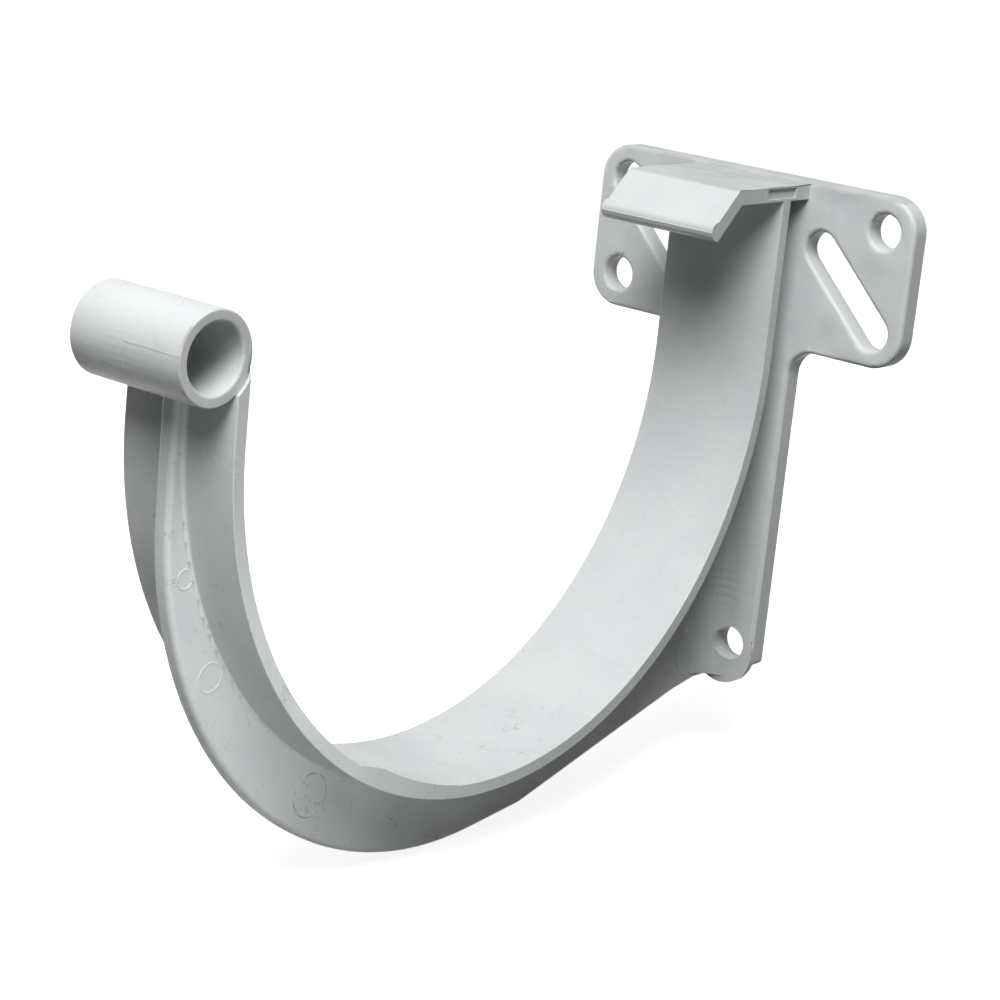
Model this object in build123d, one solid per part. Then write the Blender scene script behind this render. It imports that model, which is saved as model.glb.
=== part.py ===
from build123d import *
import math
import os

# Gutter clip for a half-round plastic gutter, moulded in one piece
# X runs along the gutter, Y points into the wall, Z is up, all in millimetres
# The origin lies on the flat back, on the centre line, level with the middle of the gutter circle

# gutter seat
gutter_radius = 62.5
strap_width = 23.4
strap_thickness = 2.3
strap_gap = 5.25
strap_edge_chamfer = 0.2
strap_sink = 0.3

# the strap narrows a little on one side towards the sleeve
taper_depth = 0.9
taper_rise = 2.5

# back plate
plate_thickness = 3.7
wing_width = 67.3
wing_top = 31.3
wing_bottom = 1.7
corner_radius = 6.0
neck_radius = 4.6
foot_rise = 7.5
foot_corner_radius = 1.2
plate_edge_chamfer = 0.8

# fixing holes and slots
hole_diameter = 6.1
slot_width = 6.2
hole_inset = 6.05
slot_travel = 17.3
slot_angle = 45.0
mouth_chamfer = 0.7

# lug round the lower hole
lug_radius = 6.5
lug_drop = 4.3
lug_thickness = 1.2
lug_hole_inset = 5.0
lug_hole_rise = 3.45

# web behind and below the strap
web_thickness = 3.2
web_edge_radius = 1.0
web_root_radius = 0.8
web_front_depth = 2.1
web_bottom_depth = 12.35
web_arc_drop = 10.9
web_kink_angle = 288.0
web_kink_bulge = 1.2
web_kink_radius = 12.0
web_foot_drop = 3.15
web_toe_drop = 3.9
web_toe_length = 8.5
cove_radius = 5.0

# front sleeve
sleeve_radius = 7.0
sleeve_bore = 10.1
sleeve_length = 22.4
sleeve_inset = 0.5
sleeve_height = 13.4
sleeve_edge_chamfer = 0.3
sleeve_chamfer = 0.6

# arm and lip over the back edge of the gutter
arm_top = 30.85
arm_thickness = 2.65
arm_reach = 20.7
lip_angle = 45.0
lip_length = 9.8
lip_thickness = 2.5
bead_radius = 1.55
bead_rise = 0.5
bead_overhang = 0.3
lip_corner_radius = 0.5
panel_length = 8.5
panel_height = 1.8
panel_depth = 0.4
panel_start = 4.0

# low nib on one edge of the seat
nib_width = 2.4
nib_height = 1.1
nib_toe = 238.5
nib_crest = 243.5
nib_tail = 261.5

# how far a cutter runs past a face, and how near an edge must be to count as the one meant
cut_past = 1.0
pick_margin = 0.5
pick_touch = 0.05

plate_front = -plate_thickness
ring_y = plate_front - strap_gap - strap_thickness - gutter_radius
half_strap = strap_width / 2
half_wing = wing_width / 2
outer_radius = gutter_radius + strap_thickness
sleeve_y = ring_y - gutter_radius - sleeve_radius + sleeve_inset
arm_under = arm_top - arm_thickness
foot_bottom = foot_rise - outer_radius
web_foot_z = foot_bottom - web_foot_drop


def ring_point(radius, angle):
    turn = math.radians(angle)
    return (ring_y + radius * math.cos(turn), radius * math.sin(turn))


def slab(sketch, width):
    return extrude(Plane.YZ * sketch, amount=width / 2, both=True)


def strap():
    # half ring with two upright ends
    rear_top = arm_under + strap_sink
    ring = Pos(ring_y, 0) * (Circle(outer_radius) - Circle(gutter_radius))
    lower = Pos(ring_y, -outer_radius / 2) * Rectangle(2 * outer_radius, outer_radius)
    rear_y = ring_y + gutter_radius + strap_thickness / 2
    front_y = ring_y - gutter_radius - strap_thickness / 2
    rear = Pos(rear_y, rear_top / 2) * Rectangle(strap_thickness, rear_top)
    front = Pos(front_y, sleeve_height / 2) * Rectangle(strap_thickness, sleeve_height)
    return slab(ring & lower, strap_width) + slab(rear, strap_width) + slab(front, strap_width)


def web():
    # upright rib from the sleeve, round the bottom and back to the plate
    arc_radius = outer_radius + web_bottom_depth - web_arc_drop
    front_y = ring_y - outer_radius - web_front_depth
    arc_y = front_y + arc_radius
    arc_z = -web_arc_drop
    kink_turn = math.radians(web_kink_angle)
    kink_reach = arc_radius + web_kink_bulge
    kink_y = arc_y + kink_reach * math.cos(kink_turn)
    kink_z = arc_z + kink_reach * math.sin(kink_turn)
    leave_turn = kink_turn - math.acos(arc_radius / kink_reach)
    middle_turn = (math.pi + leave_turn) / 2
    leave = (arc_y + arc_radius * math.cos(leave_turn), arc_z + arc_radius * math.sin(leave_turn))
    bottom = (arc_y + arc_radius * math.cos(middle_turn), arc_z + arc_radius * math.sin(middle_turn))
    toe_y = plate_front - web_toe_length
    toe_z = web_foot_z + (kink_z - web_foot_z) * web_toe_length / (plate_front - kink_y)
    inner = gutter_radius + strap_thickness / 2
    inside = plate_front + plate_thickness / 2
    outline = [
        Line((ring_y - inner, 0), (ring_y - inner, sleeve_height)),
        Line((ring_y - inner, sleeve_height), (front_y, sleeve_height)),
        Line((front_y, sleeve_height), (front_y, arc_z)),
        ThreePointArc((front_y, arc_z), bottom, leave),
        Line(leave, (kink_y, kink_z)),
        Line((kink_y, kink_z), (toe_y, toe_z)),
        Line((toe_y, toe_z), (plate_front, foot_bottom - web_toe_drop)),
        Line((plate_front, foot_bottom - web_toe_drop), (inside, foot_bottom - web_toe_drop)),
        Line((inside, foot_bottom - web_toe_drop), (inside, arm_under + arm_thickness / 2)),
        Line((inside, arm_under + arm_thickness / 2), (ring_y + inner, arm_under + arm_thickness / 2)),
        Line((ring_y + inner, arm_under + arm_thickness / 2), (ring_y + inner, 0)),
        ThreePointArc((ring_y + inner, 0), ring_point(inner, 270), (ring_y - inner, 0)),
    ]
    face = make_face(outline)
    kink = face.vertices().sort_by_distance((kink_y, kink_z))[0]
    face = fillet(kink, web_kink_radius)
    return slab(face, web_thickness)


def far_taper():
    # thin wedge taken off one side of the front half, which narrows towards the sleeve
    wedge = make_polygon([
        (-half_strap - cut_past, taper_rise - gutter_radius),
        (-half_strap, taper_rise - gutter_radius),
        (-half_strap + taper_depth, sleeve_height),
        (-half_strap - cut_past, sleeve_height),
    ])
    return Pos(0, ring_y, 0) * extrude(Plane.XZ * wedge, amount=gutter_radius + sleeve_radius)


def seat():
    # strap and web as one tee section, with its rim and root rounded and its long edges eased
    body = strap() - far_taper() + web()
    rim = [e for e in body.edges() if on_web_side(e) and is_rim(e)]
    body = fillet(rim, web_edge_radius)
    root = [e for e in body.edges() if on_web_side(e) and abs(ring_distance(e) - outer_radius) < pick_touch]
    body = fillet(root, web_root_radius)
    long_edges = [e for e in body.edges() if is_long_edge(e)]
    return chamfer(long_edges, strap_edge_chamfer)


def ring_distance(edge):
    # distance from the middle of the gutter circle, or from its upright plane above that
    middle = edge @ 0.5
    return math.hypot(middle.Y - ring_y, min(middle.Z, 0))


def on_web_side(edge):
    box = edge.bounding_box()
    return box.size.X < pick_touch and abs(abs(box.min.X) - web_thickness / 2) < pick_touch


def is_rim(edge):
    middle = edge @ 0.5
    inside_part = middle.Y < plate_front - pick_margin and middle.Z < sleeve_height - pick_margin
    return inside_part and ring_distance(edge) > outer_radius + pick_margin


def is_long_edge(edge):
    middle = edge @ 0.5
    if abs(middle.X) < half_strap - 2 * pick_margin or edge.length < 2 * strap_thickness:
        return False
    distance = ring_distance(edge)
    return abs(distance - gutter_radius) < pick_touch or abs(distance - outer_radius) < pick_touch


def plate():
    # wings, foot and lug as one outline
    wings = Pos(0, (wing_top + wing_bottom) / 2) * Rectangle(wing_width, wing_top - wing_bottom)
    foot_height = wing_bottom - foot_bottom
    foot = Pos(0, wing_bottom - foot_height / 2) * Rectangle(strap_width, foot_height)
    outline = wings + foot
    outer = [v for v in outline.vertices() if abs(abs(v.X) - half_wing) < pick_touch]
    outline = fillet(outer, corner_radius)
    inner = [v for v in outline.vertices() if abs(abs(v.X) - half_strap) < pick_touch]
    neck = [v for v in inner if v.Y > foot_bottom + corner_radius]
    outline = fillet(neck, neck_radius)
    tips = [v for v in outline.vertices() if abs(v.Y - foot_bottom) < pick_touch]
    outline = fillet(tips, foot_corner_radius)
    outline -= wing_openings()
    slab_body = extrude(Plane.XZ * outline, amount=plate_thickness)
    front = slab_body.faces().sort_by(Axis.Y)[0]
    body = chamfer(front.outer_wire().edges(), plate_edge_chamfer)
    front = body.faces().sort_by(Axis.Y)[0]
    mouths = [edge for wire in front.inner_wires() for edge in wire.edges()]
    return chamfer(mouths, mouth_chamfer)


def lug():
    # rounded tab on the front face that carries the lower hole
    disc = Pos(half_strap - lug_radius, foot_bottom - lug_drop + lug_radius) * Circle(lug_radius)
    tab = extrude(Plane.XZ * disc, amount=lug_thickness)
    return Pos(0, lug_thickness - plate_thickness, 0) * tab


def cove():
    # hollow corner between web and plate, on both sides
    half_web = web_thickness / 2
    side = half_web + cove_radius
    deep = plate_front - cove_radius
    dip = cove_radius * (1 - math.sqrt(0.5))
    sunk = plate_front + cut_past
    profile = make_face([
        Line((0, sunk), (side, sunk)),
        Line((side, sunk), (side, plate_front)),
        ThreePointArc((side, plate_front), (half_web + dip, plate_front - dip), (half_web, deep)),
        Line((half_web, deep), (0, deep)),
        Line((0, deep), (0, sunk)),
    ])
    half = extrude(Plane.XY.offset(web_foot_z) * profile, amount=arm_under - web_foot_z)
    return half + mirror(half, Plane.YZ)


def sleeve():
    # round sleeve at the front end, bored right through at the end
    tube = slab(Pos(sleeve_y, sleeve_height) * Circle(sleeve_radius), sleeve_length)
    return chamfer(tube.edges(), sleeve_edge_chamfer)


def arm():
    # flat arm with a bent lip and a round bead along its end
    turn = math.radians(lip_angle)
    along = Vector(-math.cos(turn), -math.sin(turn))
    down = Vector(math.sin(turn), -math.cos(turn))
    bend = Vector(plate_front - arm_reach, arm_top)
    inside = plate_front + plate_thickness / 2
    back_off = lip_thickness / math.sin(turn) - arm_thickness / math.tan(turn)
    under_bend = Vector(bend.X + back_off, arm_under)
    tip = bend + along * lip_length
    profile = make_polygon([
        (inside, arm_top),
        (bend.X, bend.Y),
        (tip.X, tip.Y),
        (tip.X + down.X * lip_thickness, tip.Y + down.Y * lip_thickness),
        (under_bend.X, under_bend.Y),
        (inside, arm_under),
    ])
    heel = profile.vertices().sort_by(Axis.Y)[0]
    profile = fillet(heel, lip_corner_radius)
    bead_at = bend + along * (lip_length - bead_radius + bead_overhang) + down * (bead_radius - bead_rise)
    bead = Pos(bead_at.X, bead_at.Y) * Circle(bead_radius)
    bar = slab(profile + bead, strap_width)
    panel_y = plate_front - panel_start - panel_length / 2
    panel_z = (arm_top + arm_under) / 2
    panel = Pos(half_strap, panel_y, panel_z) * Box(2 * panel_depth, panel_length, panel_height)
    return bar - panel


def make_polygon(points):
    loop = points + points[:1]
    return make_face([Line(a, b) for a, b in zip(loop, loop[1:])])


def nib():
    # low ramped bump that grips the gutter near one edge
    base = gutter_radius + strap_thickness / 2
    crest = gutter_radius - nib_height
    ramp = ring_point(gutter_radius - nib_height / 2, (nib_crest + nib_tail) / 2)
    heel = (nib_toe + nib_tail) / 2
    profile = make_face([
        Line(ring_point(base, nib_toe), ring_point(gutter_radius, nib_toe)),
        Line(ring_point(gutter_radius, nib_toe), ring_point(crest, nib_crest)),
        ThreePointArc(ring_point(crest, nib_crest), ramp, ring_point(gutter_radius, nib_tail)),
        Line(ring_point(gutter_radius, nib_tail), ring_point(base, nib_tail)),
        ThreePointArc(ring_point(base, nib_tail), ring_point(base, heel), ring_point(base, nib_toe)),
    ])
    return Pos(half_strap - nib_width, 0, 0) * extrude(Plane.YZ * profile, amount=nib_width)


def wing_openings():
    # two round holes and two slanted slots, turned half a turn about the wing centre
    x = half_wing - hole_inset
    high = wing_top - hole_inset
    low = wing_bottom + hole_inset
    turn = math.radians(slot_angle)
    shift_x = slot_travel / 2 * math.cos(turn)
    shift_z = slot_travel / 2 * math.sin(turn)
    slot = Rot(0, 0, -slot_angle) * SlotCenterToCenter(slot_travel, slot_width)
    shapes = Pos(x, high) * Circle(hole_diameter / 2)
    shapes += Pos(-x, low) * Circle(hole_diameter / 2)
    shapes += Pos(x - shift_x, low + shift_z) * slot
    shapes += Pos(shift_x - x, high - shift_z) * slot
    return shapes


def lug_hole():
    drill = Pos(half_strap - lug_hole_inset, foot_bottom + lug_hole_rise) * Circle(hole_diameter / 2)
    return Pos(0, cut_past, 0) * extrude(Plane.XZ * drill, amount=plate_thickness + cove_radius + cut_past)


def sleeve_drill():
    # bore with a chamfer at each mouth, turned about the sleeve axis
    bore = sleeve_bore / 2
    mouth = bore + sleeve_chamfer
    end = sleeve_length / 2
    past = half_strap + cut_past
    profile = make_polygon([
        (-past, 0),
        (-past, mouth),
        (-end, mouth),
        (sleeve_chamfer - end, bore),
        (end - sleeve_chamfer, bore),
        (end, mouth),
        (past, mouth),
        (past, 0),
    ])
    return Pos(0, sleeve_y, sleeve_height) * revolve(profile, Axis.X)


def clip():
    body = seat() + plate() + lug() + cove() + arm() + sleeve() + nib()
    body -= lug_hole()
    return body - sleeve_drill()


os.makedirs("parts", exist_ok=True)
solid = clip()
print("solids", len(solid.solids()), "volume", round(solid.volume), "valid", solid.is_valid)
export_step(solid, "parts/gutter_clip.step")
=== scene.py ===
import math

import bmesh
import bpy
from mathutils import Matrix, Vector


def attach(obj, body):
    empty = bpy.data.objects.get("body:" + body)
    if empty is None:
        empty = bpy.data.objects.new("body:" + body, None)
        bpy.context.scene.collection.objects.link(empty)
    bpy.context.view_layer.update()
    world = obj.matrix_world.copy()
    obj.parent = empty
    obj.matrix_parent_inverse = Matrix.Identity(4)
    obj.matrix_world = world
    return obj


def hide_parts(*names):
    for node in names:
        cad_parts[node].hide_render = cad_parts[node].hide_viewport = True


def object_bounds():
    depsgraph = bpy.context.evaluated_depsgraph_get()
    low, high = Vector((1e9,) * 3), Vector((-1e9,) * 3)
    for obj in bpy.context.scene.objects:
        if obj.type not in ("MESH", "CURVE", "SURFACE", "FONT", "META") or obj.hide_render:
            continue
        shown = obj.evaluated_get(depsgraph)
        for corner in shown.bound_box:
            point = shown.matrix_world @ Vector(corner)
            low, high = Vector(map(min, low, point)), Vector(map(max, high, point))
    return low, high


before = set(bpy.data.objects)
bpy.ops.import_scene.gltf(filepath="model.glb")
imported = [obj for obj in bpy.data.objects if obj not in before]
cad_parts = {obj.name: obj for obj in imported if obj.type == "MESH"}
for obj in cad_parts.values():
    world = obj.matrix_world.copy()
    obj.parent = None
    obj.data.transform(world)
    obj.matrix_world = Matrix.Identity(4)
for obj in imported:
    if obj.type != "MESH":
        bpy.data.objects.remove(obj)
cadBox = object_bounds()
print("frame loaded")


# camera, turned and tilted as the photo was taken
cameraSet = {
    "place": (0.27009, -0.39875, 0.09329),
    "azimuth": 38.998,
    "elevation": 14.790,
    "roll": 5.752,
    "focal": 98.272,
    "sensor": 36.0,
    "near": 0.01,
}


def makeCamera(s):
    azimuth = math.radians(s["azimuth"])
    elevation = math.radians(s["elevation"])
    roll = math.radians(s["roll"])
    back = Vector((
        math.sin(azimuth) * math.cos(elevation),
        -math.cos(azimuth) * math.cos(elevation),
        math.sin(elevation)))
    level = Vector((math.cos(azimuth), math.sin(azimuth), 0))
    upright = back.cross(level)
    right = level * math.cos(roll) + upright * math.sin(roll)
    up = upright * math.cos(roll) - level * math.sin(roll)
    lens = bpy.data.cameras.new("camera")
    lens.lens = s["focal"]
    lens.sensor_width = s["sensor"]
    lens.clip_start = s["near"]
    camera = bpy.data.objects.new("camera", lens)
    bpy.context.scene.collection.objects.link(camera)
    turn = Matrix((right, up, back)).transposed().to_4x4()
    camera.matrix_world = Matrix.Translation(Vector(s["place"])) @ turn
    bpy.context.scene.camera = camera


makeCamera(cameraSet)
print("camera made")


# a node with its inputs, each a value or another node's socket, and its settings
def useNode(tree, kind, inputs, **settings):
    node = tree.nodes.new(kind)
    for name, value in settings.items():
        setattr(node, name, value)
    for name, value in inputs.items():
        if isinstance(value, bpy.types.NodeSocket):
            tree.links.new(value, node.inputs[name])
        else:
            node.inputs[name].default_value = value
    return node


# soft studio light: three overhead panels side by side, one right behind the plate, which
# shades the seat from it, one beside the web's far side, a small one low beside the hoop,
# and a dim room that looks white
lightSet = {
    "panels": {
        "leftPanel": {"place": (0.0, -0.422, 0.642), "size": 0.34, "power": 1.25},
        "middlePanel": {"place": (0.251, -0.505, 0.537), "size": 0.34, "power": 4.15},
        "rightPanel": {"place": (0.249, -0.319, 0.642), "size": 0.34, "power": 2.85},
        "backPanel": {"place": (0.0, 0.62, -0.008), "size": 0.11, "power": 1.6, "aim": (0, 0, -0.008)},
        "sidePanel": {"place": (-0.60, -0.05, -0.008), "size": 0.11, "power": 0.8,
                      "aim": (0, -0.05, -0.008)},
        "lowPanel": {"place": (0.10, -0.16, -0.06), "size": 0.07, "power": 0.0150,
                     "aim": (0, -0.13, -0.055), "spread": 70.0},
    },
    "aim": (0, -0.07, -0.02),
    "spread": 180.0,
    "room": 0.02,
    "white": (1, 1, 1, 1),
}


def addPanel(name, s, usual):
    panel = bpy.data.lights.new(name, "AREA")
    panel.shape = "SQUARE"
    panel.size = s["size"]
    panel.energy = s["power"]
    panel.spread = math.radians(s.get("spread", usual["spread"]))
    lamp = bpy.data.objects.new(name, panel)
    bpy.context.scene.collection.objects.link(lamp)
    away = Vector(s["place"]) - Vector(s.get("aim", usual["aim"]))
    lamp.location = s["place"]
    lamp.rotation_euler = away.to_track_quat("Z", "Y").to_euler()


# 1 for the rays that see the white room: from the camera, off a shiny skin and through glass
def whiteRays(tree):
    path = useNode(tree, "ShaderNodeLightPath", {}).outputs
    total = path["Is Camera Ray"]
    for name in ("Is Glossy Ray", "Is Transmission Ray"):
        either = {0: total, 1: path[name]}
        total = useNode(tree, "ShaderNodeMath", either, operation="MAXIMUM").outputs[0]
    return total


def makeRoom(s):
    world = bpy.data.worlds.new("room")
    world.use_nodes = True
    tree = world.node_tree
    tree.nodes.clear()
    dim = useNode(tree, "ShaderNodeBackground", {"Color": s["white"], "Strength": s["room"]}).outputs[0]
    seen = useNode(tree, "ShaderNodeBackground", {"Color": s["white"], "Strength": 1.0}).outputs[0]
    mix = useNode(tree, "ShaderNodeMixShader", {0: whiteRays(tree), 1: dim, 2: seen}).outputs[0]
    useNode(tree, "ShaderNodeOutputWorld", {"Surface": mix})
    bpy.context.scene.world = world


for panelName, panelSet in lightSet["panels"].items():
    addPanel(panelName, panelSet, lightSet)
makeRoom(lightSet)
bpy.context.scene.view_settings.view_transform = "Standard"
print("lights made")


# pale floor that keeps the clip's shadow and turns white far away
floorSet = {
    "size": 6.0,
    "drop": 0.0005,
    "bounce": (0.05, 0.05, 0.05, 1),
    "seen": (0.55, 0.55, 0.55, 1),
    "lift": {"From Min": 0.08, "From Max": 0.40, "To Min": 0.84, "To Max": 1.0},
}


def makeFloor(s, lowest):
    bpy.ops.object.select_all(action="DESELECT")
    bpy.ops.mesh.primitive_plane_add(size=s["size"], location=(0, 0, lowest - s["drop"]))
    floor = bpy.context.object
    floor.name = "floor"
    material = bpy.data.materials.new("paleFloor")
    material.use_nodes = True
    tree = material.node_tree
    tree.nodes.clear()
    place = useNode(tree, "ShaderNodeTexCoord", {}).outputs["Object"]
    far = useNode(tree, "ShaderNodeVectorMath", {0: place}, operation="LENGTH").outputs["Value"]
    rise = useNode(tree, "ShaderNodeMapRange", {"Value": far, **s["lift"]}).outputs[0]
    lift = useNode(tree, "ShaderNodeEmission", {"Color": lightSet["white"], "Strength": rise}).outputs[0]
    bounce = useNode(tree, "ShaderNodeBsdfDiffuse", {"Color": s["bounce"]}).outputs[0]
    seen = useNode(tree, "ShaderNodeBsdfDiffuse", {"Color": s["seen"]}).outputs[0]
    both = useNode(tree, "ShaderNodeAddShader", {0: seen, 1: lift}).outputs[0]
    mix = useNode(tree, "ShaderNodeMixShader", {0: whiteRays(tree), 1: bounce, 2: both}).outputs[0]
    useNode(tree, "ShaderNodeOutputMaterial", {"Surface": mix})
    floor.data.materials.append(material)


makeFloor(floorSet, cadBox[0].z)
print("floor made")


# moulded plastic: pale cool grey with a satin skin, faint mottling, specks, hairlines, grime and painted
# shade
plasticSet = {
    "pale": (0.600, 0.618, 0.618, 1),
    "dull": (0.535, 0.556, 0.560, 1),
    # the grime colour, which also paints shade on the wings, above the foot and on the arm's top
    "grimeAndShade": (0.120, 0.122, 0.118, 1),
    "brown": (0.330, 0.245, 0.180, 1),
    "warm": (0.640, 0.520, 0.430, 1),
    "mottle": {"scale": 75.0, "seed": 1.0, "detail": 4.0, "range": (0.34, 0.66), "share": 0.55},
    "grain": {"scale": 900.0, "seed": 2.0, "detail": 3.0, "range": (0.25, 0.75), "share": 0.22},
    "speck": {"scale": 850.0, "size": 0.105, "kept": 0.60, "share": 0.50},
    "dust": {"scale": 2100.0, "size": 0.26, "kept": 0.45, "share": 0.50},
    "hair": {"scale": 300.0, "seed": 5.0, "width": 0.014, "gate": 230.0, "range": (0.55, 0.66),
             "share": 0.30},
    "seedStep": (0.053, 0.037, 0.071),
    "hoopInner": 0.0626,
    "hoopOuter": 0.0648,
    "thinner": (0.012, -0.012, 0.45, 1.0),
    "seatHair": 0.3,
    "cling": {"reach": (0.0014, 0.0004), "mottle": (0.45, 0.75)},
    "mostGrimeAndShade": 0.9,
    "skin": {"broad": 0.6, "fine": 0.4, "range": (0.1, 0.9)},
    "roughness": (0.34, 0.50),
    "shine": 0.26,
    "sheen": 0.02,
    "peel": {"scale": 2600.0, "seed": 3.0, "detail": 1.0, "height": 0.0000035},
    "wave": {"scale": 210.0, "seed": 4.0, "detail": 0.0, "height": 0.000030},
}

# places with a mark of their own: the grimy pin ring, the sleeve's rim, warm spots on the lip,
# and painted shade: darker patches on the wings, streaks above the foot and bands with grey smudges on the
# arm's top
markSet = {
    "pinRing": {"middle": (0, -0.1064, -0.0614), "radius": 0.0036, "line": 0.00017, "share": 0.60,
                "seed": 8.0},
    "smudge": {"scale": 1300.0, "seed": 9.0, "range": (0.60, 0.72), "share": 0.4, "inner": 0.9},
    "rim": {"middle": (0, -0.14275, 0.0134), "radius": 0.0069, "line": 0.00020, "share": 0.55,
            "seed": 11.0, "from": 0.0108, "left": (-0.1400, -0.1440)},
    "broken": {"scale": 420.0, "range": (0.36, 0.60)},
    "spots": [((-0.0029, -0.0252, 0.0301), 0.0011), ((0.0024, -0.0259, 0.0293), 0.0013)],
    "spotShare": 0.35,
    # painted shade: darker patches on the wings' front
    "patches": [((0.0262, -0.0037, 0.0185), 0.0040), ((0.0190, -0.0037, 0.0072), 0.0034),
                ((0.0300, -0.0037, 0.0080), 0.0036), ((0.0150, -0.0037, 0.0260), 0.0045),
                ((-0.0250, -0.0037, 0.0150), 0.0040)],
    "patchShare": 0.09,
    "patchCore": 5,
    "patchGrain": (0.0, 0.5, 0.5, 1.0),
    # painted shade: dark streaks above the foot
    "footShade": {"middle": (0.0045, -0.0045, -0.0435), "pitch": 4000.0, "bend": 2.0, "reach": 0.0058,
              "share": 0.20},
    # painted shade with grey smudges: darker bands on the arm's top
    "top": {"level": (0.0303, 0.0307), "stretch": (0.7, 2.4, 1.0), "scale": 150.0, "seed": 13.0,
            "range": (0.38, 0.62), "shares": (0.20, 0.33)},
}


def reckon(tree, how, first, second=0.0):
    return useNode(tree, "ShaderNodeMath", {0: first, 1: second}, operation=how).outputs[0]


def times(tree, first, second):
    return reckon(tree, "MULTIPLY", first, second)


def plus(tree, first, second):
    return reckon(tree, "ADD", first, second)


def offFrom(tree, value, level):
    return reckon(tree, "ABSOLUTE", reckon(tree, "SUBTRACT", value, level))


def fade(tree, value, low, high, start=0.0, end=1.0):
    inputs = {"Value": value, "From Min": low, "From Max": high, "To Min": start, "To Max": end}
    return useNode(tree, "ShaderNodeMapRange", inputs, interpolation_type="SMOOTHSTEP").outputs[0]


def scaled(tree, place, factors):
    return useNode(tree, "ShaderNodeVectorMath", {0: place, 1: factors}, operation="MULTIPLY").outputs[0]


def gapTo(tree, place, spot):
    return useNode(tree, "ShaderNodeVectorMath", {0: place, 1: spot}, operation="DISTANCE").outputs["Value"]


def tint(tree, share, under, over):
    return useNode(tree, "ShaderNodeMix", {0: share, 6: under, 7: over}, data_type="RGBA").outputs[2]


# each seed reads its own part of the noise
def cloud(tree, place, scale, seed, detail=2.0):
    shift = tuple(seed * step for step in plasticSet["seedStep"])
    moved = useNode(tree, "ShaderNodeVectorMath", {0: place, 1: shift}, operation="ADD").outputs[0]
    inputs = {"Vector": moved, "Scale": scale, "Detail": detail}
    return useNode(tree, "ShaderNodeTexNoise", inputs).outputs[0]


# small dots at random places, kept only in some cells
def dots(tree, place, s):
    cells = useNode(tree, "ShaderNodeTexVoronoi", {"Vector": place, "Scale": s["scale"]})
    chance = useNode(tree, "ShaderNodeSeparateColor", {0: cells.outputs["Color"]}).outputs[0]
    kept = reckon(tree, "LESS_THAN", chance, s["kept"])
    dot = fade(tree, cells.outputs["Distance"], s["size"], s["size"] / 2)
    return times(tree, times(tree, dot, kept), s["share"])


# thin curved lines where a cloud passes its middle, broken up by a second cloud
def hairlines(tree, place, s):
    off = offFrom(tree, cloud(tree, place, s["scale"], s["seed"]), 0.5)
    line = fade(tree, off, s["width"], s["width"] / 4)
    gate = fade(tree, cloud(tree, place, s["gate"], s["seed"] + 1), *s["range"])
    return times(tree, times(tree, line, gate), s["share"])


# a line at one distance from an axis along X, broken up by a cloud
def ringLine(tree, side, place, s, broken):
    off = offFrom(tree, gapTo(tree, side, s["middle"]), s["radius"])
    line = fade(tree, off, s["line"], s["line"] / 3)
    gate = fade(tree, cloud(tree, place, broken["scale"], s["seed"]), *broken["range"])
    return times(tree, times(tree, line, gate), s["share"])


# specks and hairlines, thinner on the upper parts and on the seat, and dust that clings to the
# hoop's outer face
def looseDirt(tree, place, along, side, broad, hair, s):
    fromAxis = gapTo(tree, side, (0, 0, 0))
    cling = s["cling"]
    outer = fade(tree, offFrom(tree, fromAxis, s["hoopOuter"]), *cling["reach"])
    outer = times(tree, outer, fade(tree, broad, *cling["mottle"]))
    dust = times(tree, dots(tree, place, s["dust"]), outer)
    onSeat = fade(tree, fromAxis, s["hoopInner"], s["hoopOuter"], s["seatHair"], 1.0)
    fine = plus(tree, dots(tree, place, s["speck"]), times(tree, hair, onSeat))
    return plus(tree, times(tree, fine, fade(tree, along["Z"], *s["thinner"])), dust)


# the grimy pin ring, only on the web's right side
def pinDirt(tree, place, along, side, marks):
    pinRing, smudge = marks["pinRing"], marks["smudge"]
    radius = pinRing["radius"]
    inside = fade(tree, gapTo(tree, side, pinRing["middle"]), radius, radius * smudge["inner"])
    blots = cloud(tree, place, smudge["scale"], smudge["seed"])
    blots = fade(tree, blots, *smudge["range"], 0.0, smudge["share"])
    darkening = plus(tree, ringLine(tree, side, place, pinRing, marks["broken"]), times(tree, inside, blots))
    return times(tree, darkening, reckon(tree, "GREATER_THAN", along["X"], 0.0))


# painted shade: darker patches on the wings, streaks above the foot and bands on the arm's top, the bands
# with grey smudges as well
def paintedShadeAndSmudges(tree, place, along, broad, fine, marks):
    darkening = 0.0
    # darker patches of painted shade on the wings
    for spot, reach in marks["patches"]:
        core = reach / marks["patchCore"]
        patch = fade(tree, gapTo(tree, place, spot), reach, core, 0.0, marks["patchShare"])
        darkening = plus(tree, darkening, times(tree, patch, fade(tree, fine, *marks["patchGrain"])))
    # streaks of painted shade above the foot
    footShade = marks["footShade"]
    turns = plus(tree, times(tree, along["Z"], footShade["pitch"]), times(tree, broad, footShade["bend"]))
    streaks = fade(tree, reckon(tree, "SINE", turns), 0.0, 1.0)
    spread = fade(tree, gapTo(tree, place, footShade["middle"]), footShade["reach"], 0.0, 0.0, footShade["share"])
    darkening = plus(tree, darkening, times(tree, streaks, spread))
    # bands of painted shade with grey smudges on the arm's top
    top = marks["top"]
    bands = cloud(tree, scaled(tree, place, top["stretch"]), top["scale"], top["seed"])
    bands = fade(tree, bands, *top["range"], *top["shares"])
    return plus(tree, darkening, times(tree, fade(tree, along["Z"], *top["level"]), bands))


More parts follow.
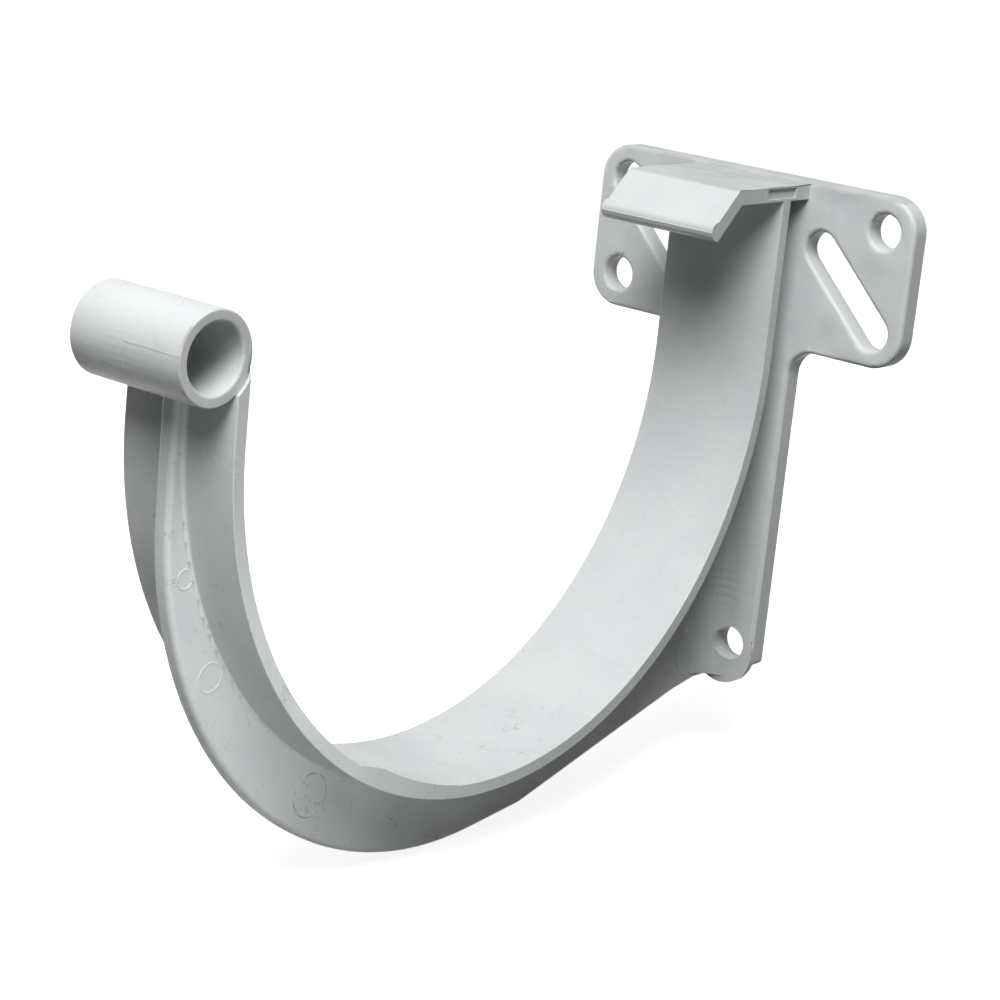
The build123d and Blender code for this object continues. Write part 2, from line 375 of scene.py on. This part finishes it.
# the brown line on the upper left of the sleeve's rim and the warm spots on the lip
def addTints(tree, colour, place, along, side, s, marks):
    rim = marks["rim"]
    atEnd = reckon(tree, "GREATER_THAN", along["X"], rim["from"])
    atLeft = times(tree, atEnd, fade(tree, along["Y"], *rim["left"]))
    rimLine = times(tree, ringLine(tree, side, place, rim, marks["broken"]), atLeft)
    colour = tint(tree, rimLine, colour, s["brown"])
    for spot, reach in marks["spots"]:
        glow = fade(tree, gapTo(tree, place, spot), reach, 0.0, 0.0, marks["spotShare"])
        colour = tint(tree, glow, colour, s["warm"])
    return colour


def makePlastic(s, marks):
    material = bpy.data.materials.new("mouldedPlastic")
    material.use_nodes = True
    tree = material.node_tree
    shader = tree.nodes["Principled BSDF"]
    place = useNode(tree, "ShaderNodeTexCoord", {}).outputs["Object"]
    along = useNode(tree, "ShaderNodeSeparateXYZ", {0: place}).outputs
    side = scaled(tree, place, (0, 1, 1))

    mottle, grain = s["mottle"], s["grain"]
    broad = cloud(tree, place, mottle["scale"], mottle["seed"], mottle["detail"])
    broad = fade(tree, broad, *mottle["range"])
    fine = cloud(tree, place, grain["scale"], grain["seed"], grain["detail"])
    fine = fade(tree, fine, *grain["range"])
    share = plus(tree, times(tree, broad, mottle["share"]), times(tree, fine, grain["share"]))
    colour = tint(tree, share, s["pale"], s["dull"])

    hair = hairlines(tree, place, s["hair"])
    darkening = looseDirt(tree, place, along, side, broad, hair, s)
    darkening = plus(tree, darkening, pinDirt(tree, place, along, side, marks))
    # painted shade on the wings, above the foot and on the arm's top joins the dirt here, and the grime
    # colour paints all of it
    darkening = plus(tree, darkening, paintedShadeAndSmudges(tree, place, along, broad, fine, marks))
    colour = tint(tree, reckon(tree, "MINIMUM", darkening, s["mostGrimeAndShade"]), colour, s["grimeAndShade"])
    colour = addTints(tree, colour, place, along, side, s, marks)
    tree.links.new(colour, shader.inputs["Base Color"])

    # the satin skin is a little rougher where it is mottled and where a hairline crosses it
    skin = plus(tree, times(tree, broad, s["skin"]["broad"]), times(tree, fine, s["skin"]["fine"]))
    skin = fade(tree, skin, *s["skin"]["range"], *s["roughness"])
    tree.links.new(plus(tree, skin, hair), shader.inputs["Roughness"])
    heights = []
    for layer in (s["peel"], s["wave"]):
        swell = cloud(tree, place, layer["scale"], layer["seed"], layer["detail"])
        heights.append(times(tree, swell, layer["height"]))
    bump = useNode(tree, "ShaderNodeBump", {"Height": plus(tree, *heights), "Distance": 1.0})
    tree.links.new(bump.outputs[0], shader.inputs["Normal"])
    shader.inputs["Specular IOR Level"].default_value = s["shine"]
    shader.inputs["Sheen Weight"].default_value = s["sheen"]
    return material


# the clip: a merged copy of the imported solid, with the marks that the mould leaves
clipSet = {
    "mergeWithin": 0.000002,
    "flatWithin": 0.2,
    "sharpAbove": 25.0,
    "alwaysSharp": 62.0,
    "narrowFace": 0.0009,
    "gridStep": 0.0009,
    "gridFrom": -0.012,
    "plateFront": -0.0037,
    "frontBand": (-0.0038, -0.0027),
    "frontFacing": -0.5,
    "armTop": 0.03085,
    "topFacing": 0.999,
    "topWithin": 0.00005,
    "armGrid": (0.0117, -0.0250),
    "roundCuts": (0.0001, 0.0003, 0.0006),
    "slanted": (-0.75, -0.66),
    "edgeRound": 0.0008,
    "mouthRound": 0.0007,
    "mouthReach": 0.0045,
    "armSide": 0.0135,
    "armLow": 0.0240,
    "onPlane": 1e-7,
    "near": 1e-6,
}

# fine raised rings left by the ejector pins on the right side of the web: y, z, radius
ringSet = {
    "face": 0.0016,
    "rings": [
        (-0.1365, -0.0215, 0.0015),
        (-0.1300, -0.0376, 0.0023),
        (-0.1064, -0.0614, 0.0035),
        (-0.0084, -0.0520, 0.0024),
        (-0.0094, -0.0564, 0.0032),
    ],
    "wire": 0.00016,
    "sunk": 0.00006,
    "steps": (64, 6),
}

# the disc that is cut away beside the sleeve's near end
trimSet = {
    "middle": (0.01168, -0.14275, 0.0134),
    "radius": 0.0070,
    "depth": 0.0010,
    "steps": 144,
}

# the mould's parting line on the sleeve: one line along it and one round its front
seamSet = {
    "middle": (0.0, -0.14275, 0.0134),
    "radius": 0.0070,
    "end": 0.0108,
    "angle": 172.0,
    "height": 0.000025,
    "width": 0.00016,
    "ringAt": -0.0002,
    "steps": (96, 8),
}

# soft lands round the holes and along the slots, and shallow sinks between them
waveSet = {
    "holes": [(0.0276, 0.02525), (-0.0276, 0.00775)],
    "slots": [(0.0214, 0.01385), (-0.0214, 0.01915)],
    "slotHalf": 0.00865,
    "lowHole": (0.0067, -0.05385),
    "landRadius": 0.0062,
    "blend": 0.0022,
    "landHeight": 0.00009,
    "ripple": 0.00011,
    "pitches": (520, 310, 430, 170),
    "bend": 1.3,
    "start": 2.0,
    "armRipple": 0.00010,
    "armPitch": (1.3, 1.1),
    "wingFrom": 0.0118,
    "wingEnd": (0.0336, 0.0313),
    "calm": 0.003,
    "armFrom": -0.0040,
    "level": 0.00002,
}


def pickOnly(piece):
    bpy.ops.object.select_all(action="DESELECT")
    piece.select_set(True)
    bpy.context.view_layer.objects.active = piece


def setPlace(piece):
    pickOnly(piece)
    bpy.ops.object.transform_apply(location=True, rotation=True, scale=True)


def copyOfNode(name, newName):
    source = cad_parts[name]
    piece = bpy.data.objects.new(newName, source.data.copy())
    bpy.context.scene.collection.objects.link(piece)
    pickOnly(piece)
    bpy.ops.mesh.customdata_custom_splitnormals_clear()
    bpy.ops.object.mode_set(mode="EDIT")
    bpy.ops.mesh.select_all(action="SELECT")
    bpy.ops.mesh.remove_doubles(threshold=clipSet["mergeWithin"])
    bpy.ops.object.mode_set(mode="OBJECT")
    return piece


# the newest piece is joined to the clip or cut from it
def combine(piece, how):
    mark = bpy.context.object
    setPlace(mark)
    joined = piece.modifiers.new("mark", "BOOLEAN")
    joined.operation = how
    joined.solver = "EXACT"
    joined.object = mark
    pickOnly(piece)
    bpy.ops.object.modifier_apply(modifier=joined.name)
    bpy.data.objects.remove(mark)


# the hoop's side stops at the sleeve's rim, so that the sleeve ends in a whole ring
def trimSide(piece, s):
    bpy.ops.object.select_all(action="DESELECT")
    bpy.ops.mesh.primitive_cylinder_add(
        location=s["middle"], rotation=(0, math.pi / 2, 0),
        radius=s["radius"], depth=s["depth"], vertices=s["steps"])
    combine(piece, "DIFFERENCE")


def addHoop(piece, place, radius, wire, steps):
    bpy.ops.object.select_all(action="DESELECT")
    bpy.ops.mesh.primitive_torus_add(
        location=place, rotation=(0, math.pi / 2, 0), major_radius=radius, minor_radius=wire,
        major_segments=steps[0], minor_segments=steps[1])
    combine(piece, "UNION")


def addRings(piece, s):
    for y, z, radius in s["rings"]:
        addHoop(piece, (s["face"] - s["sunk"], y, z), radius, s["wire"], s["steps"])


def addSeams(piece, s):
    x, y, z = s["middle"]
    turn = math.radians(s["angle"])
    reach = s["radius"] - s["width"] / 2 + s["height"]
    bpy.ops.object.select_all(action="DESELECT")
    bpy.ops.mesh.primitive_cube_add(
        size=1, location=(x + s["end"] / 2, y + reach * math.cos(turn), z + reach * math.sin(turn)))
    bar = bpy.context.object
    bar.scale = (s["end"], s["width"], s["width"])
    bar.rotation_euler = (turn, 0, 0)
    combine(piece, "UNION")
    addHoop(piece, (s["ringAt"], y, z), reach, s["width"] / 2, s["steps"])


def flattenFaces(piece, s):
    pickOnly(piece)
    bpy.ops.object.mode_set(mode="EDIT")
    bpy.ops.mesh.select_all(action="SELECT")
    bpy.ops.mesh.dissolve_limited(angle_limit=math.radians(s["flatWithin"]))
    bpy.ops.object.mode_set(mode="OBJECT")


# the faces that get a fine grid: the plate's front with its chamfers, and the arm's top
def isPlateFront(face):
    low, high = clipSet["frontBand"]
    return face.normal.y < clipSet["frontFacing"] and low < face.calc_center_median().y < high


def isArmTop(face):
    off = abs(face.calc_center_median().z - clipSet["armTop"])
    return face.normal.z > clipSet["topFacing"] and off < clipSet["topWithin"]


def cutAt(shape, chosen, axis, level):
    faces = [face for face in shape.faces if chosen(face)]
    around = set(faces)
    around.update(edge for face in faces for edge in face.edges)
    around.update(vert for face in faces for vert in face.verts)
    place = Vector((0, 0, 0))
    place[axis] = level
    normal = Vector((0, 0, 0))
    normal[axis] = 1
    bmesh.ops.bisect_plane(shape, geom=list(around), plane_co=place, plane_no=normal, dist=clipSet["onPlane"])


def cutGrid(shape, chosen, axis, low, high, step):
    for i in range(1, int((high - low) / step)):
        cutAt(shape, chosen, axis, low + i * step)


def holeGap(x, z, s):
    gaps = [math.hypot(x - hx, z - hz) for hx, hz in s["holes"] + [s["lowHole"]]]
    for sx, sz in s["slots"]:
        along = ((x - sx) - (z - sz)) * math.sqrt(0.5)
        across = ((x - sx) + (z - sz)) * math.sqrt(0.5)
        gaps.append(math.hypot(max(abs(along) - s["slotHalf"], 0), across))
    return min(gaps)


# the plate's chamfers swell into quarter rounds that touch both faces where the chamfers did
def roundEdges(shape, s, spots):
    low, high = s["slanted"]
    moves = []
    for vert in shape.verts:
        depth = vert.co.y - s["plateFront"]
        onCut = any(abs(depth - cut) < s["near"] for cut in s["roundCuts"])
        atArm = abs(vert.co.x) < s["armSide"] and vert.co.z > s["armLow"]
        slanted = [face.normal for face in vert.link_faces if low < face.normal.y < high]
        outward = Vector((sum(n.x for n in slanted), 0, sum(n.z for n in slanted)))
        if not onCut or atArm or outward.length < s["near"]:
            continue
        nearHole = holeGap(vert.co.x, vert.co.z, spots) < s["mouthReach"]
        size = s["mouthRound"] if nearHole else s["edgeRound"]
        if depth < size:
            swell = math.sqrt(2 * size * depth - depth * depth) - depth
            moves.append((vert, outward.normalized() * swell))
    for vert, move in moves:
        vert.co += move


def cutGrids(piece, s):
    shape = bmesh.new()
    shape.from_mesh(piece.data)
    low, high = cadBox
    half, reach = s["armGrid"]
    cutGrid(shape, isPlateFront, 0, low.x, high.x, s["gridStep"])
    cutGrid(shape, isPlateFront, 2, s["gridFrom"], high.z, s["gridStep"])
    cutGrid(shape, isArmTop, 0, -half, half, s["gridStep"])
    cutGrid(shape, isArmTop, 1, reach, 0.0, s["gridStep"])
    for depth in s["roundCuts"]:
        cutAt(shape, isPlateFront, 1, s["plateFront"] + depth)
    roundEdges(shape, s, waveSet)
    shape.to_mesh(piece.data)
    shape.free()


def smoothStep(value):
    value = min(max(value, 0), 1)
    return value * value * (3 - 2 * value)


def landAt(x, z, s):
    return 1 - smoothStep((holeGap(x, z, s) - s["landRadius"]) / s["blend"])


# long and short waves that cross, between -1 and 1
def rippleAt(a, b, s):
    first, side, second, slant = s["pitches"]
    bent = math.sin(a * first + s["bend"] * math.sin(b * side))
    return (bent + math.sin(b * second + a * slant + s["start"])) / 2


# the waves die out towards the wings' ends and the plate's top
def addWaves(piece, s, flat):
    endX, endZ = s["wingEnd"]
    pitchX, pitchY = s["armPitch"]
    for vert in piece.data.vertices:
        x, y, z = vert.co
        if abs(y - flat["plateFront"]) < s["level"] and z > 0 and abs(x) > s["wingFrom"]:
            edge = smoothStep((endX - abs(x)) / s["calm"]) * smoothStep((endZ - z) / s["calm"])
            rise = landAt(x, z, s) * s["landHeight"] + rippleAt(x, z, s) * s["ripple"]
            vert.co.y = y + (s["landHeight"] - rise) * edge
        if abs(z - flat["armTop"]) < s["level"] and y < s["armFrom"]:
            vert.co.z = z - (1 + rippleAt(x * pitchX, y * pitchY, s)) * s["armRipple"]


def onRing(edge, s):
    x, y, z = (edge.verts[0].co + edge.verts[1].co) / 2
    near = [abs(math.hypot(y - ringY, z - ringZ) - radius) for ringY, ringZ, radius in s["rings"]]
    return abs(x - s["face"]) < s["wire"] and min(near) < 2 * s["wire"]


# true edges stay crisp, while narrow chamfers blend into their neighbours like rounded edges
def isSoft(edge, width, s):
    turn = math.degrees(edge.calc_face_angle())
    if turn < s["sharpAbove"]:
        return True
    wide = min(width[face] for face in edge.link_faces) > s["narrowFace"] / 2
    return turn < s["alwaysSharp"] and not wide and not onRing(edge, ringSet)


def markSharp(piece, s):
    shape = bmesh.new()
    shape.from_mesh(piece.data)
    width = {face: 2 * face.calc_area() / face.calc_perimeter() for face in shape.faces}
    for edge in shape.edges:
        edge.smooth = len(edge.link_faces) != 2 or isSoft(edge, width, s)
    for face in shape.faces:
        face.smooth = True
    shape.to_mesh(piece.data)
    shape.free()


def evenNormals(piece):
    pickOnly(piece)
    weighted = piece.modifiers.new("edges", "WEIGHTED_NORMAL")
    weighted.weight = 100
    weighted.keep_sharp = True
    bpy.ops.object.modifier_apply(modifier=weighted.name)


clip = copyOfNode("gutter_clip", "mouldedClip")
trimSide(clip, trimSet)
addRings(clip, ringSet)
addSeams(clip, seamSet)
flattenFaces(clip, clipSet)
cutGrids(clip, clipSet)
addWaves(clip, waveSet, clipSet)
markSharp(clip, clipSet)
evenNormals(clip)
clip.data.materials.clear()
clip.data.materials.append(makePlastic(plasticSet, markSet))
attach(clip, "root")
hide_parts("gutter_clip")
print("clip made,", len(clip.data.polygons), "faces")
